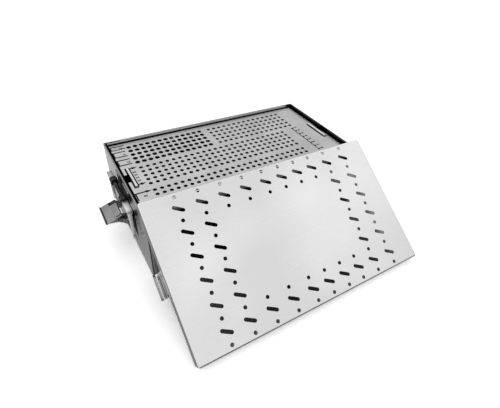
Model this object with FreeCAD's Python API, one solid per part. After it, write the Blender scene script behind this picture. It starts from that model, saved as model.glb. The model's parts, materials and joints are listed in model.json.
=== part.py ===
import FreeCAD, Part

import math
import os

# Steel box for orthopaedic implants: a pan with a lift-out screw rack and a lower tray, a lid
# that leans on its front rim, and a draw latch with a wide bail on each short side.
# Millimetres. Origin at the middle of the underside, +X right, +Y back, +Z up.

# Box pan
BOX_W = 360.0
BOX_D = 200.0
BOX_H = 110.0
SHEET = 1.2
BOX_CORNER_R = 4.0
BOX_FOOT_R = 2.0
HEM_W = 2.4
HEM_H = 9.0
VENT_R = 3.0
VENT_COLS = 11
VENT_ROWS = 5
VENT_PITCH_X = 28.0
VENT_PITCH_Y = 34.0

# Lid
LID_GAP = 0.7
LID_SHEET = 1.0
LID_FLANGE = 14.6
LID_CORNER_R = 3.5
LID_BEND_R = 2.0
LID_REST_GAP = 0.3
LID_OVERHANG = 24.0
SLOT_L = 17.0
SLOT_W = 5.0
SLOT_TURN = -29.5
LID_HOLE_R = 2.6
SLOT_COLS = (0.125, 0.213, 0.302, 0.392, 0.481, 0.556, 0.631, 0.705, 0.786, 0.876)
SLOT_ROWS = (0.108, 0.263, 0.418, 0.572, 0.729, 0.886)
HOLE_STEP = 0.078

# Screw rack
RACK_GAP_X = 4.8
RACK_GAP_Y = 3.3
RACK_RECESS = 5.7
RACK_SHEET = 1.2
RACK_FLANGE = 10.0
GUIDE_DROP = 18.0
GUIDE_SHEET = 1.2
RACK_BASE_Z = 60.0
HOLE_R_LARGE = 3.8
HOLE_R_SMALL = 2.95
GUIDE_HOLE_CUT = 0.4
COL_PITCH = 10.04
GRID_LEFT = 33.8
FIELD_GAP_X = 137.8
BACK_ROWS_Y = 19.8
BACK_PITCH = 11.4
MID_ROWS_Y = 80.7
MID_PITCH = 10.6
FRONT_ROWS_Y = 139.3
FRONT_PITCH = 10.3
ROWS = 5
COLS_LARGE = 13
FIELD_RIGHT = 47.0
WIDE_RIGHT = 74.0
FIELD_FRONT = 19.0
POST_R = 3.0
BASE_HOLE_R = 2.5
BASE_PITCH = 20.0
BASE_MARGIN = 12.0
POST_INSET_X = 14.0
POST_INSET_Y = 7.5
RAIL_W = 12.0
RAIL_SHEET = 1.2

# Drop handles of the rack
GRIP_L = 47.5
GRIP_W = 3.6
GRIP_H = 3.0
GRIP_INSET = 8.2
GRIP_LEG_Y = 19.0
GRIP_LEG_W = 3.6
GRIP_LEG_L = 21.0
GRIP_FOOT_W = 9.0
GRIP_FOOT_H = 2.0
GRIP_SLOT_L = 44.0
GRIP_CLEAR_IN = 2.2
GRIP_CLEAR_OUT = 0.5
NOTCH_L = 19.0
NOTCH_W = 6.2

# Lower tray
TRAY_GAP = 5.5
TRAY_H = 45.0
TRAY_SHEET = 1.0
TRAY_CORNER_R = 5.0
TRAY_HOLE_R = 3.0
TRAY_COLS = 14
TRAY_ROWS = 7
TRAY_PITCH = 22.0

# Latch on each short side: s is the distance out from the side wall
PLATE_W = 60.0
PLATE_DROP = 37.0
PLATE_H = 34.0
PLATE_SHEET = 1.2
RIVET_Y = 24.0
RIVET_LOW = 5.5
RIVET_HIGH = 29.0
RIVET_R = 1.6
RIVET_HEAD_R = 3.0
RIVET_HEAD_H = 1.5
LEVER_PIN_S = 15.2
LEVER_PIN_DROP = 56.0
LEVER_PIN_R = 2.0
EAR_Y = 15.0
EAR_SHEET = 1.5
EAR_R = 5.5
CHEEK_GAP = 2.5
CHEEK_SHEET = 1.5
CHEEK_R = 5.5
BAIL_PIN_IN = 9.0
BAIL_PIN_DOWN = 9.0
BAIL_PIN_R = 1.4
BAIL_PIN_EYE_R = 3.2
LEVER_REACH = 21.5
LEVER_SHEET = 1.5
LEVER_DROP = 3.0
LEVER_START = 6.0
LIP_R = 2.6
RUN_CLEAR = 0.05
BAIL_W = 102.0
BAIL_SHEET = 2.0
BAIL_H = 45.5
BAIL_TOP_W = 7.8
BAIL_LEG_W = 4.6
BAIL_TAIL = 6.0
BAIL_TILT = 0.4
CATCH_BAR_R = 3.0
COLLAR_R = 5.6
COLLAR_L = 10.0
BAIL_ARM_L = 23.0
BAIL_BEND_R = 3.5
LEVER_CLOSED = 75.0
BAIL_FOLLOW = 0.265

# Keeper on each short side of the lid
KEEPER_L = 33.0
KEEPER_SHEET = 0.8
KEEPER_GAP = 0.3
KEEPER_TOP = 2.5
KEEPER_LIP = 2.5
KEEPER_RIVET_R = 2.2
KEEPER_RIVET_H = 0.8
KEEPER_RIVET_Y = 11.0
KEEPER_RIVET_N = 7.0
KEEPER_BEND_N = 11.0
KEEPER_BEND_H = 3.0

X = FreeCAD.Vector(1, 0, 0)
Y = FreeCAD.Vector(0, 1, 0)
Z = FreeCAD.Vector(0, 0, 1)


def vec(x, y, z):
    return FreeCAD.Vector(x, y, z)


def block(x0, x1, y0, y1, z0, z1):
    return Part.makeBox(x1 - x0, y1 - y0, z1 - z0, vec(x0, y0, z0))


def rounded_block(width, depth, height, radius, z0):
    body = block(-width / 2, width / 2, -depth / 2, depth / 2, z0, z0 + height)
    uprights = [e for e in body.Edges if abs(e.tangentAt(e.FirstParameter).z) > 0.9]
    return body.makeFillet(radius, uprights)


def soften_low_edges(body, z, radius):
    low = [e for e in body.Edges if e.BoundBox.ZMax < z + 0.01]
    return body.makeFillet(radius, low)


def soften_high_edges(body, z, radius):
    high = [e for e in body.Edges if e.BoundBox.ZMin > z - 0.01]
    return body.makeFillet(radius, high)


def rod_y(x, y0, y1, z, radius):
    return Part.makeCylinder(radius, y1 - y0, vec(x, y0, z), Y)


def rod_z(x, y, z0, z1, radius):
    return Part.makeCylinder(radius, z1 - z0, vec(x, y, z0), Z)


def slot_cutter(length, width, depth):
    """Solid of a round-ended slot along X, centred, cutting from -depth to +depth."""
    half = (length - width) / 2
    r = width / 2
    top = Part.LineSegment(vec(-half, r, 0), vec(half, r, 0)).toShape()
    right = Part.Arc(vec(half, r, 0), vec(half + r, 0, 0), vec(half, -r, 0)).toShape()
    low = Part.LineSegment(vec(half, -r, 0), vec(-half, -r, 0)).toShape()
    left = Part.Arc(vec(-half, -r, 0), vec(-half - r, 0, 0), vec(-half, r, 0)).toShape()
    face = Part.Face(Part.Wire([top, right, low, left]))
    face.translate(vec(0, 0, -depth))
    return face.extrude(vec(0, 0, 2 * depth))


def profile_y(points, y0, y1):
    """Extrude a closed outline of (x, z) points or arcs from y0 to y1.

    A point is (x, z); an arc is ((x, z) on the way, (x, z) at its end)."""
    start = points[0]
    here = start
    edges = []
    for item in points[1:] + [start]:
        if isinstance(item[0], tuple):
            mid, end = item
            arc = Part.Arc(vec(here[0], y0, here[1]), vec(mid[0], y0, mid[1]), vec(end[0], y0, end[1]))
            edges.append(arc.toShape())
        else:
            end = item
            if math.hypot(end[0] - here[0], end[1] - here[1]) > 1e-6:
                edges.append(Part.LineSegment(vec(here[0], y0, here[1]), vec(end[0], y0, end[1])).toShape())
        here = end
    return Part.Face(Part.Wire(edges)).extrude(vec(0, y1 - y0, 0))


def hull_wire(circles):
    """Outline round circles (x, z, r) given anticlockwise, joined by their outer tangents."""
    n = len(circles)
    touch = []
    for i in range(n):
        x0, z0, r0 = circles[i]
        x1, z1, r1 = circles[(i + 1) % n]
        run = math.hypot(x1 - x0, z1 - z0)
        along = math.atan2(z1 - z0, x1 - x0)
        normal = along - math.acos((r0 - r1) / run)
        out = (math.cos(normal), math.sin(normal))
        touch.append(((x0 + r0 * out[0], z0 + r0 * out[1]), (x1 + r1 * out[0], z1 + r1 * out[1])))
    path = [touch[0][0]]
    for i in range(n):
        path.append(touch[i][1])
        x1, z1, r1 = circles[(i + 1) % n]
        leave = touch[(i + 1) % n][0]
        arrive = touch[i][1]
        mx = arrive[0] + leave[0] - 2 * x1
        mz = arrive[1] + leave[1] - 2 * z1
        size = math.hypot(mx, mz)
        mid = (x1 + r1 * mx / size, z1 + r1 * mz / size)
        path.append((mid, leave))
    return path


def sheet_with_holes(outline, holes, z0, thick):
    """Plate cut from a face that already has its holes: (x, y, r) each."""
    wires = [outline]
    for x, y, r in holes:
        wires.append(Part.Wire(Part.makeCircle(r, vec(x, y, z0))))
    face = Part.Face(wires, "Part::FaceMakerBullseye")
    return face.extrude(vec(0, 0, thick))


def save(name, shape):
    solids = shape.Solids
    if len(solids) == 1:
        shape = solids[0]
    if not shape.isValid():
        raise ValueError(name + " is not a valid solid")
    shape.exportStep("parts/" + name + ".step")
    box = shape.BoundBox
    print(f"{name:22s} solids {len(solids):2d}  x {box.XMin:7.1f} {box.XMax:7.1f}"
          f"  y {box.YMin:7.1f} {box.YMax:7.1f}  z {box.ZMin:6.1f} {box.ZMax:6.1f}")


def both_sides(name, shape):
    """Save a piece of the right side and its mirror on the left side."""
    save(name + "_right", shape)
    save(name + "_left", shape.mirror(vec(0, 0, 0), X))


# Box pan: four walls and a floor with steam holes, and a hem folded in at the rim

def box_shell():
    body = rounded_block(BOX_W, BOX_D, BOX_H, BOX_CORNER_R, 0)
    body = soften_low_edges(body, 0, BOX_FOOT_R)
    inner_r = BOX_CORNER_R - SHEET
    cavity = rounded_block(BOX_W - 2 * SHEET, BOX_D - 2 * SHEET, BOX_H, inner_r, SHEET)
    cavity = soften_low_edges(cavity, SHEET, BOX_FOOT_R - SHEET)
    hem = rounded_block(BOX_W - SHEET, BOX_D - SHEET, HEM_H, BOX_CORNER_R - SHEET / 2, BOX_H - HEM_H)
    mouth = rounded_block(BOX_W - 2 * HEM_W, BOX_D - 2 * HEM_W, HEM_H, BOX_CORNER_R - HEM_W, BOX_H - HEM_H)
    vents = []
    for i in range(VENT_COLS):
        for j in range(VENT_ROWS):
            x = (i - (VENT_COLS - 1) / 2) * VENT_PITCH_X
            y = (j - (VENT_ROWS - 1) / 2) * VENT_PITCH_Y
            vents.append(rod_z(x, y, -1, SHEET + 1, VENT_R))
    shell = body.cut(cavity).cut(Part.makeCompound(vents))
    return shell.fuse(hem.cut(mouth)).removeSplitter()


# Lid: a shallow pan with a ring of slanting slots and small holes

def lid_angle():
    """Lean of the lid with its front flange on the table and its plate on the box's rim."""
    slope = LID_L - LID_OVERHANG
    drop = LID_FLANGE - LID_SHEET - LID_REST_GAP
    reach = math.hypot(slope, drop)
    return math.asin(BOX_H / reach) - math.atan2(drop, slope)


LID_W = BOX_W + 2 * (LID_GAP + LID_SHEET)
LID_L = BOX_D + 2 * (LID_GAP + LID_SHEET)
LEAN = lid_angle()


def lean_lid(shape):
    """Move a piece from the lid's own frame, top edge at y 0 and plate top at z 0, to its lean."""
    top_z = LID_L * math.sin(LEAN) + LID_FLANGE * math.cos(LEAN)
    seat = LID_SHEET + LID_REST_GAP
    top_y = -BOX_D / 2 + LID_OVERHANG * math.cos(LEAN) - seat * math.sin(LEAN)
    turn = FreeCAD.Rotation(X, math.degrees(LEAN))
    placed = shape.copy()
    placed.Placement = FreeCAD.Placement(vec(0, top_y, top_z), turn).multiply(shape.Placement)
    return placed


def lid_openings():
    slots = []
    holes = set()
    last_col = len(SLOT_COLS) - 1
    last_row = len(SLOT_ROWS) - 1
    for i, u in enumerate(SLOT_COLS):
        for j, v in enumerate(SLOT_ROWS):
            side = i in (0, 1, last_col - 1, last_col)
            end = j in (0, last_row)
            if not (side or end):
                continue
            slots.append((u, v))
            holes.add((u, round(v - HOLE_STEP, 3)))
            holes.add((u, round(v + HOLE_STEP, 3)))
    return slots, sorted(holes)


def lid_pan():
    body = rounded_block(LID_W, LID_L, LID_FLANGE, LID_CORNER_R, -LID_FLANGE)
    body = soften_high_edges(body, 0, LID_BEND_R)
    inner = rounded_block(LID_W - 2 * LID_SHEET, LID_L - 2 * LID_SHEET, LID_FLANGE,
                          LID_CORNER_R - LID_SHEET, -LID_FLANGE - LID_SHEET)
    inner = soften_high_edges(inner, -LID_SHEET, LID_BEND_R - LID_SHEET)
    slots, holes = lid_openings()
    cutters = []
    for u, v in slots:
        cutter = slot_cutter(SLOT_L, SLOT_W, 2 * LID_SHEET)
        cutter.rotate(vec(0, 0, 0), Z, SLOT_TURN)
        cutter.translate(vec((u - 0.5) * LID_W, (0.5 - v) * LID_L, 0))
        cutters.append(cutter)
    for u, v in merged_rows(holes):
        cutters.append(rod_z((u - 0.5) * LID_W, (0.5 - v) * LID_L, -2 * LID_SHEET, LID_SHEET, LID_HOLE_R))
    pan = body.cut(inner).cut(Part.makeCompound(cutters))
    pan.translate(vec(0, -LID_L / 2, 0))
    return pan


def merged_rows(holes):
    """One hole where the holes of two neighbouring slots fall together."""
    kept = []
    for u, v in holes:
        close = [k for k in kept if k[0] == u and abs(k[1] - v) * LID_L < 2 * LID_HOLE_R]
        if not close:
            kept.append((u, v))
    return kept


def lid_keeper():
    """J-shaped catch of the right side, with its trough where the closed latch's bar lies."""
    flange = LID_W / 2
    bar_s, bar_z = closed_bar_place()
    inner_r = CATCH_BAR_R + KEEPER_GAP
    outer_r = inner_r + KEEPER_SHEET
    cx = WALL + bar_s
    cz = bar_z - (BOX_H + LID_REST_GAP + LID_SHEET)
    lip = cz + KEEPER_LIP
    bend = -KEEPER_BEND_N
    low_bend = bend - KEEPER_BEND_H
    d = math.sqrt(0.5)
    outline = [
        (flange, -KEEPER_TOP),
        (flange, bend),
        (cx - outer_r, low_bend),
        (cx - outer_r, cz),
        ((cx - outer_r * d, cz - outer_r * d), (cx, cz - outer_r)),
        ((cx + outer_r * d, cz - outer_r * d), (cx + outer_r, cz)),
        (cx + outer_r, lip),
        (cx + inner_r, lip),
        (cx + inner_r, cz),
        ((cx + inner_r * d, cz - inner_r * d), (cx, cz - inner_r)),
        ((cx - inner_r * d, cz - inner_r * d), (cx - inner_r, cz)),
        (cx - inner_r, low_bend),
        (flange + KEEPER_SHEET, bend),
        (flange + KEEPER_SHEET, -KEEPER_TOP),
    ]
    middle = -LID_L / 2
    return profile_y(outline, middle - KEEPER_L / 2, middle + KEEPER_L / 2)


def keeper_rivets():
    """Two flat-headed rivets that hold the right keeper to the lid's flange."""
    heads = []
    face = LID_W / 2 + KEEPER_SHEET
    for side in (-1, 1):
        centre = vec(face, -LID_L / 2 + side * KEEPER_RIVET_Y, -KEEPER_RIVET_N)
        heads.append(Part.makeCylinder(KEEPER_RIVET_R, KEEPER_RIVET_H, centre, X))
    return Part.makeCompound(heads)


# Screw rack: a perforated top plate over a guide plate and a base plate on six posts

RACK_W = BOX_W - 2 * (SHEET + RACK_GAP_X)
RACK_D = BOX_D - 2 * (SHEET + RACK_GAP_Y)
RACK_TOP = BOX_H - RACK_RECESS
GRIP_X = RACK_W / 2 - GRIP_INSET


def fitting(length, pitch):
    """How many holes at this pitch fit along a length, with one at each end."""
    return int(length / pitch) + 1


def rack_fields():
    """Rows of the screw holes: (x, y, radius)."""
    first_x = -BOX_W / 2 + GRID_LEFT
    back_y = BOX_D / 2
    small = fitting(BOX_W - GRID_LEFT - FIELD_GAP_X - FIELD_RIGHT, COL_PITCH)
    wide = fitting(BOX_W - GRID_LEFT - WIDE_RIGHT, COL_PITCH)
    front = fitting(BOX_D - FRONT_ROWS_Y - FIELD_FRONT, FRONT_PITCH)
    fields = [
        (first_x, back_y - BACK_ROWS_Y, COLS_LARGE, ROWS, BACK_PITCH, HOLE_R_LARGE),
        (first_x + FIELD_GAP_X, back_y - BACK_ROWS_Y, small, ROWS, BACK_PITCH, HOLE_R_SMALL),
        (first_x, back_y - MID_ROWS_Y, wide, ROWS, MID_PITCH, HOLE_R_SMALL),
        (first_x, back_y - FRONT_ROWS_Y, wide, front, FRONT_PITCH, HOLE_R_SMALL),
    ]
    holes = []
    for x0, y0, cols, rows, pitch, radius in fields:
        for j in range(rows):
            for i in range(cols):
                holes.append((x0 + i * COL_PITCH, y0 - j * pitch, radius))
    return holes


def rectangle(x0, x1, y0, y1, z):
    return Part.makePolygon([vec(x0, y0, z), vec(x1, y0, z), vec(x1, y1, z), vec(x0, y1, z), vec(x0, y0, z)])


def rack_top_plate():
    half_w = RACK_W / 2
    half_d = RACK_D / 2
    under = RACK_TOP - RACK_SHEET
    plate = sheet_with_holes(rectangle(-half_w, half_w, -half_d, half_d, under), rack_fields(), under, RACK_SHEET)
    skirt = block(-half_w, half_w, -half_d, half_d, RACK_TOP - RACK_FLANGE, under)
    hollow = block(-half_w + RACK_SHEET, half_w - RACK_SHEET, -half_d + RACK_SHEET, half_d - RACK_SHEET,
                   RACK_TOP - RACK_FLANGE, under)
    plate = plate.fuse(skirt.cut(hollow)).removeSplitter()
    top_rim = [e for e in plate.Edges if on_rim(e, half_w, half_d)]
    plate = plate.makeFillet(RACK_SHEET * 0.7, top_rim)
    for side in (-1, 1):
        slot = sorted((side * (GRIP_X - GRIP_W / 2 - GRIP_CLEAR_IN), side * (GRIP_X + GRIP_W / 2 + GRIP_CLEAR_OUT)))
        plate = plate.cut(block(slot[0], slot[1], -GRIP_SLOT_L / 2, GRIP_SLOT_L / 2, under - 1, RACK_TOP + 1))
        edge = sorted((side * (half_w + 1), side * (half_w - NOTCH_W)))
        plate = plate.cut(block(edge[0], edge[1], -NOTCH_L / 2, NOTCH_L / 2,
                                RACK_TOP - RACK_FLANGE - 1, RACK_TOP + 1))
    return plate


def on_rim(edge, half_w, half_d):
    box = edge.BoundBox
    if box.ZMin < RACK_TOP - 0.01 or box.ZMax > RACK_TOP + 0.01:
        return False
    on_x = abs(abs(box.XMin) - half_w) < 0.01 and box.XLength < 0.01
    on_y = abs(abs(box.YMin) - half_d) < 0.01 and box.YLength < 0.01
    return on_x or on_y


def post_places():
    x = RACK_W / 2 - POST_INSET_X
    y = RACK_D / 2 - POST_INSET_Y
    return [(px, py) for px in (-x, 0, x) for py in (-y, y)]


def guide_ends():
    xs = [h[0] for h in rack_fields()]
    return min(xs) - 2 * HOLE_R_LARGE, max(xs) + 2 * HOLE_R_LARGE


def bracket_places():
    left, right = guide_ends()
    return left, right - GUIDE_SHEET


def rack_guide_plate():
    top = RACK_TOP - GUIDE_DROP
    left, right = guide_ends()
    half_d = RACK_D / 2 - RACK_SHEET
    holes = [(x, y, r - GUIDE_HOLE_CUT) for x, y, r in rack_fields()]
    plate = sheet_with_holes(rectangle(left, right, -half_d + 1, half_d - 1, top - GUIDE_SHEET), holes,
                             top - GUIDE_SHEET, GUIDE_SHEET)
    for x, y in post_places():
        if left < x < right:
            plate = plate.cut(rod_z(x, y, top - GUIDE_SHEET - 1, top + 1, POST_R))
    return plate


def guide_brackets():
    """Two uprights that carry the guide plate's ends from the base plate."""
    top = RACK_TOP - GUIDE_DROP - GUIDE_SHEET
    base = RACK_BASE_Z + RACK_SHEET
    feet = []
    for x in bracket_places():
        feet.append(block(x, x + GUIDE_SHEET, -RACK_D / 4, RACK_D / 4, base, top))
    return Part.makeCompound(feet)


def rack_base_plate():
    half_w = RACK_W / 2
    half_d = RACK_D / 2
    across = int((half_w - BASE_MARGIN) / BASE_PITCH)
    deep = int((half_d - BASE_MARGIN) / BASE_PITCH)
    holes = []
    for i in range(-across, across + 1):
        for j in range(-deep, deep + 1):
            x = i * BASE_PITCH
            if not under_bracket(x):
                holes.append((x, j * BASE_PITCH, BASE_HOLE_R))
    outline = rectangle(-half_w, half_w, -half_d, half_d, RACK_BASE_Z)
    return sheet_with_holes(outline, holes, RACK_BASE_Z, RACK_SHEET)


def under_bracket(x):
    return any(x0 - BASE_HOLE_R < x < x0 + GUIDE_SHEET + BASE_HOLE_R for x0 in bracket_places())


def rack_posts():
    top = RACK_TOP - RACK_SHEET
    base = RACK_BASE_Z + RACK_SHEET
    return Part.makeCompound([rod_z(x, y, base, top, POST_R) for x, y in post_places()])


def rack_rail():
    """L-shaped ledge on the inside of the right wall, under the rack's base plate."""
    wall = BOX_W / 2 - SHEET
    half_d = RACK_D / 2
    shelf = block(wall - RAIL_W, wall, -half_d, half_d, RACK_BASE_Z - RAIL_SHEET, RACK_BASE_Z)
    back = block(wall - RAIL_SHEET, wall, -half_d, half_d, RACK_BASE_Z - RAIL_W, RACK_BASE_Z - RAIL_SHEET)
    return shelf.fuse(back).removeSplitter()


def rack_grip():
    """Drop handle of the right side: a bar on the plate with two legs and feet below it."""
    z0 = RACK_TOP
    bar = block(GRIP_X - GRIP_W / 2, GRIP_X + GRIP_W / 2, -GRIP_L / 2, GRIP_L / 2, z0, z0 + GRIP_H)
    rims = [e for e in bar.Edges if e.BoundBox.ZMin > z0 + GRIP_H - 0.01]
    bar = bar.makeFillet(GRIP_H / 4, rims)
    pieces = [bar]
    foot_z = z0 - GRIP_LEG_L
    for side in (-1, 1):
        y = side * GRIP_LEG_Y
        half = GRIP_LEG_W / 2
        pieces.append(block(GRIP_X - half, GRIP_X + half, y - half, y + half, foot_z, z0))
        pieces.append(block(GRIP_X - GRIP_FOOT_W / 2, GRIP_X + GRIP_FOOT_W / 2, y - half, y + half,
                            foot_z, foot_z + GRIP_FOOT_H))
    return pieces[0].multiFuse(pieces[1:]).removeSplitter()


# Lower tray: a perforated pan for plates and instruments, on the box's floor

def lower_tray():
    width = BOX_W - 2 * (SHEET + TRAY_GAP)
    depth = BOX_D - 2 * (SHEET + TRAY_GAP)
    body = rounded_block(width, depth, TRAY_H, TRAY_CORNER_R, SHEET)
    inner = rounded_block(width - 2 * TRAY_SHEET, depth - 2 * TRAY_SHEET, TRAY_H,
                          TRAY_CORNER_R - TRAY_SHEET, SHEET + TRAY_SHEET)
    holes = []
    for i in range(TRAY_COLS):
        for j in range(TRAY_ROWS):
            x = (i - (TRAY_COLS - 1) / 2) * TRAY_PITCH
            y = (j - (TRAY_ROWS - 1) / 2) * TRAY_PITCH
            holes.append(rod_z(x, y, SHEET - 1, SHEET + TRAY_SHEET + 1, TRAY_HOLE_R))
    return body.cut(inner).cut(Part.makeCompound(holes))


# Draw latch of the right side, where x = WALL + s

WALL = BOX_W / 2
LEVER_PIN_Z = BOX_H - LEVER_PIN_DROP
PLATE_Z0 = BOX_H - PLATE_DROP - PLATE_H


def bail_pin_place(turn):
    """Place (s, z) of the bail's pins when the lever is turned up by so many degrees."""
    arm = math.hypot(BAIL_PIN_IN, BAIL_PIN_DOWN)
    rest = math.atan2(BAIL_PIN_DOWN, BAIL_PIN_IN)
    a = rest + math.radians(turn)
    return LEVER_PIN_S - arm * math.cos(a), LEVER_PIN_Z - arm * math.sin(a)


def closed_bar_place():
    """Place (s, z) of the catch bar with the lever turned right up."""
    pin_s, pin_z = bail_pin_place(LEVER_CLOSED)
    tilt = math.radians(BAIL_TILT - BAIL_FOLLOW * LEVER_CLOSED)
    return pin_s + BAIL_H * math.sin(tilt), pin_z + BAIL_H * math.cos(tilt)


def latch_plate():
    """Wall plate with the two inner ears that hold the lever's pin."""
    top = PLATE_Z0 + PLATE_H
    plate = block(WALL, WALL + PLATE_SHEET, -PLATE_W / 2, PLATE_W / 2, PLATE_Z0, top)
    corners = [e for e in plate.Edges if abs(e.tangentAt(e.FirstParameter).x) > 0.9]
    plate = plate.makeFillet(BOX_CORNER_R, corners)
    ears = []
    pin_x = WALL + LEVER_PIN_S
    for side in (-1, 1):
        y0, y1 = sorted((side * EAR_Y, side * (EAR_Y + EAR_SHEET)))
        outline = [
            (WALL, LEVER_PIN_Z - EAR_R),
            (pin_x, LEVER_PIN_Z - EAR_R),
            ((pin_x + EAR_R, LEVER_PIN_Z), (pin_x, LEVER_PIN_Z + EAR_R)),
            (WALL, LEVER_PIN_Z + EAR_R),
        ]
        ears.append(profile_y(outline, y0, y1))
    body = plate.multiFuse(ears)
    body = body.cut(rod_y(pin_x, -PLATE_W, PLATE_W, LEVER_PIN_Z, LEVER_PIN_R))
    return body.cut(Part.makeCompound(rivet_rods(RIVET_R))).removeSplitter()


def rivet_places():
    low = PLATE_Z0 + RIVET_LOW
    high = PLATE_Z0 + RIVET_HIGH
    return [(y, z) for y in (-RIVET_Y, RIVET_Y) for z in (low, high)]


def rivet_rods(radius):
    return [Part.makeCylinder(radius, PLATE_SHEET, vec(WALL, y, z), X) for y, z in rivet_places()]


def latch_rivets():
    """Studs welded to the wall, riveted over the latch plate."""
    rivets = []
    outside = WALL + PLATE_SHEET
    for y, z in rivet_places():
        shank = Part.makeCylinder(RIVET_R, PLATE_SHEET, vec(WALL, y, z), X)
        head = Part.makeCylinder(RIVET_HEAD_R, RIVET_HEAD_H, vec(outside, y, z), X)
        rim = [e for e in head.Edges if e.BoundBox.XMin > outside + RIVET_HEAD_H - 0.01]
        head = head.makeFillet(RIVET_HEAD_H * 0.8, rim)
        rivets.append(shank.fuse(head).removeSplitter())
    return Part.makeCompound(rivets)


CHEEK_Y = EAR_Y + EAR_SHEET + CHEEK_GAP
LEVER_W = 2 * (CHEEK_Y + CHEEK_SHEET)


def latch_lever():
    """Lever with two upturned cheeks, a thumb plate and a rolled lip."""
    pin_x = WALL + LEVER_PIN_S
    pin_z = LEVER_PIN_Z
    bail_s, bail_z = bail_pin_place(0)
    under = pin_z - LEVER_DROP - LEVER_SHEET
    start = pin_x + LEVER_START
    end = pin_x + LEVER_REACH - LIP_R
    plate = block(start, end, -LEVER_W / 2, LEVER_W / 2, under, under + LEVER_SHEET)
    lip_z = under + LIP_R
    lip = [
        (end, under),
        ((end + LIP_R * math.sin(math.pi / 4), lip_z - LIP_R * math.cos(math.pi / 4)), (end + LIP_R, lip_z)),
        (end + LIP_R, lip_z + LIP_R),
        (end + LIP_R - LEVER_SHEET, lip_z + LIP_R),
        (end + LIP_R - LEVER_SHEET, lip_z),
        ((end + (LIP_R - LEVER_SHEET) * math.sin(math.pi / 4), lip_z - (LIP_R - LEVER_SHEET) * math.cos(math.pi / 4)),
         (end, under + LEVER_SHEET)),
    ]
    pieces = [profile_y(lip, -LEVER_W / 2, LEVER_W / 2)]
    tail = start + 2 * CHEEK_SHEET
    cheek = hull_wire([
        (WALL + bail_s, bail_z, BAIL_PIN_EYE_R),
        (tail, under + LEVER_SHEET / 2, LEVER_SHEET / 2),
        (pin_x, pin_z, CHEEK_R),
    ])
    for side in (-1, 1):
        y0, y1 = sorted((side * CHEEK_Y, side * (CHEEK_Y + CHEEK_SHEET)))
        pieces.append(profile_y(cheek, y0, y1))
    body = plate.multiFuse(pieces)
    body = body.cut(rod_y(pin_x, -LEVER_W, LEVER_W, pin_z, LEVER_PIN_R + RUN_CLEAR))
    body = body.cut(rod_y(WALL + bail_s, -LEVER_W, LEVER_W, bail_z, BAIL_PIN_R + RUN_CLEAR))
    return body.removeSplitter()


def lever_pin():
    """Pin through the ears and cheeks, with a head at each end."""
    x = WALL + LEVER_PIN_S
    half = CHEEK_Y + CHEEK_SHEET + 0.3
    pin = rod_y(x, -half, half, LEVER_PIN_Z, LEVER_PIN_R)
    heads = [rod_y(x, half, half + 1.2, LEVER_PIN_Z, 1.6 * LEVER_PIN_R),
             rod_y(x, -half - 1.2, -half, LEVER_PIN_Z, 1.6 * LEVER_PIN_R)]
    return pin.multiFuse(heads).removeSplitter()


def bar_place():
    bail_s, bail_z = bail_pin_place(0)
    tilt = math.radians(BAIL_TILT)
    return WALL + bail_s + BAIL_H * math.sin(tilt), bail_z + BAIL_H * math.cos(tilt)


def latch_bail():
    """Frame with two flat legs and two flat arms that reach in to the catch bar's collars."""
    bail_s, bail_z = bail_pin_place(0)
    pin_x = WALL + bail_s
    top_x, top_z = bar_place()
    half_top = BAIL_TOP_W / 2
    half_leg = BAIL_LEG_W / 2
    roof = top_z + BAIL_SHEET / 2
    low = bail_z - BAIL_TAIL + half_leg
    leg = [
        (pin_x + half_leg, low),
        (top_x + half_top, roof - 2 * BAIL_BEND_R),
        (top_x + half_top, roof),
        (top_x - half_top, roof),
        (top_x - half_top, roof - 2 * BAIL_BEND_R),
        (pin_x - half_leg, low),
        ((pin_x, low - half_leg), (pin_x + half_leg, low)),
    ]
    halves = []
    for side in (-1, 1):
        outer = side * BAIL_W / 2
        inner = side * (BAIL_W / 2 - BAIL_SHEET)
        y0, y1 = sorted((outer, inner))
        post = profile_y(leg, y0, y1)
        a0, a1 = sorted((outer, side * (BAIL_W / 2 - BAIL_ARM_L)))
        arm = block(top_x - half_top, top_x + half_top, a0, a1, roof - BAIL_SHEET, roof)
        half = post.fuse(arm).removeSplitter()
        half = half.makeFillet(BAIL_BEND_R, edges_along_x(half, outer, roof))
        half = half.makeFillet(BAIL_BEND_R - BAIL_SHEET, edges_along_x(half, inner, roof - BAIL_SHEET))
        half = half.cut(rod_y(pin_x, -BAIL_W, BAIL_W, bail_z, BAIL_PIN_R))
        halves.append(half)
    return Part.makeCompound(halves)


def edges_along_x(shape, y, z):
    found = []
    for edge in shape.Edges:
        box = edge.BoundBox
        if abs(box.YMin - y) < 0.01 and abs(box.YMax - y) < 0.01 and abs(box.ZMin - z) < 0.01 and box.ZLength < 0.01:
            found.append(edge)
    return found


def bail_pins():
    bail_s, bail_z = bail_pin_place(0)
    inner = CHEEK_Y - 0.6
    outer = BAIL_W / 2
    return Part.makeCompound([rod_y(WALL + bail_s, inner, outer, bail_z, BAIL_PIN_R),
                              rod_y(WALL + bail_s, -outer, -inner, bail_z, BAIL_PIN_R)])


def catch_bar():
    """Round bar that lies in the lid's keeper, with a collar at each end of the keeper."""
    x, z = bar_place()
    half = BAIL_W / 2 - BAIL_ARM_L
    bar = rod_y(x, -half, half, z, CATCH_BAR_R)
    collars = []
    for side in (-1, 1):
        y0, y1 = sorted((side * half, side * (half - COLLAR_L)))
        collar = rod_y(x, y0, y1, z, COLLAR_R)
        ends = [e for e in collar.Edges if e.BoundBox.YLength < 0.01]
        collars.append(collar.makeFillet(COLLAR_R / 4, ends))
    return bar.multiFuse(collars).removeSplitter()


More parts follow.
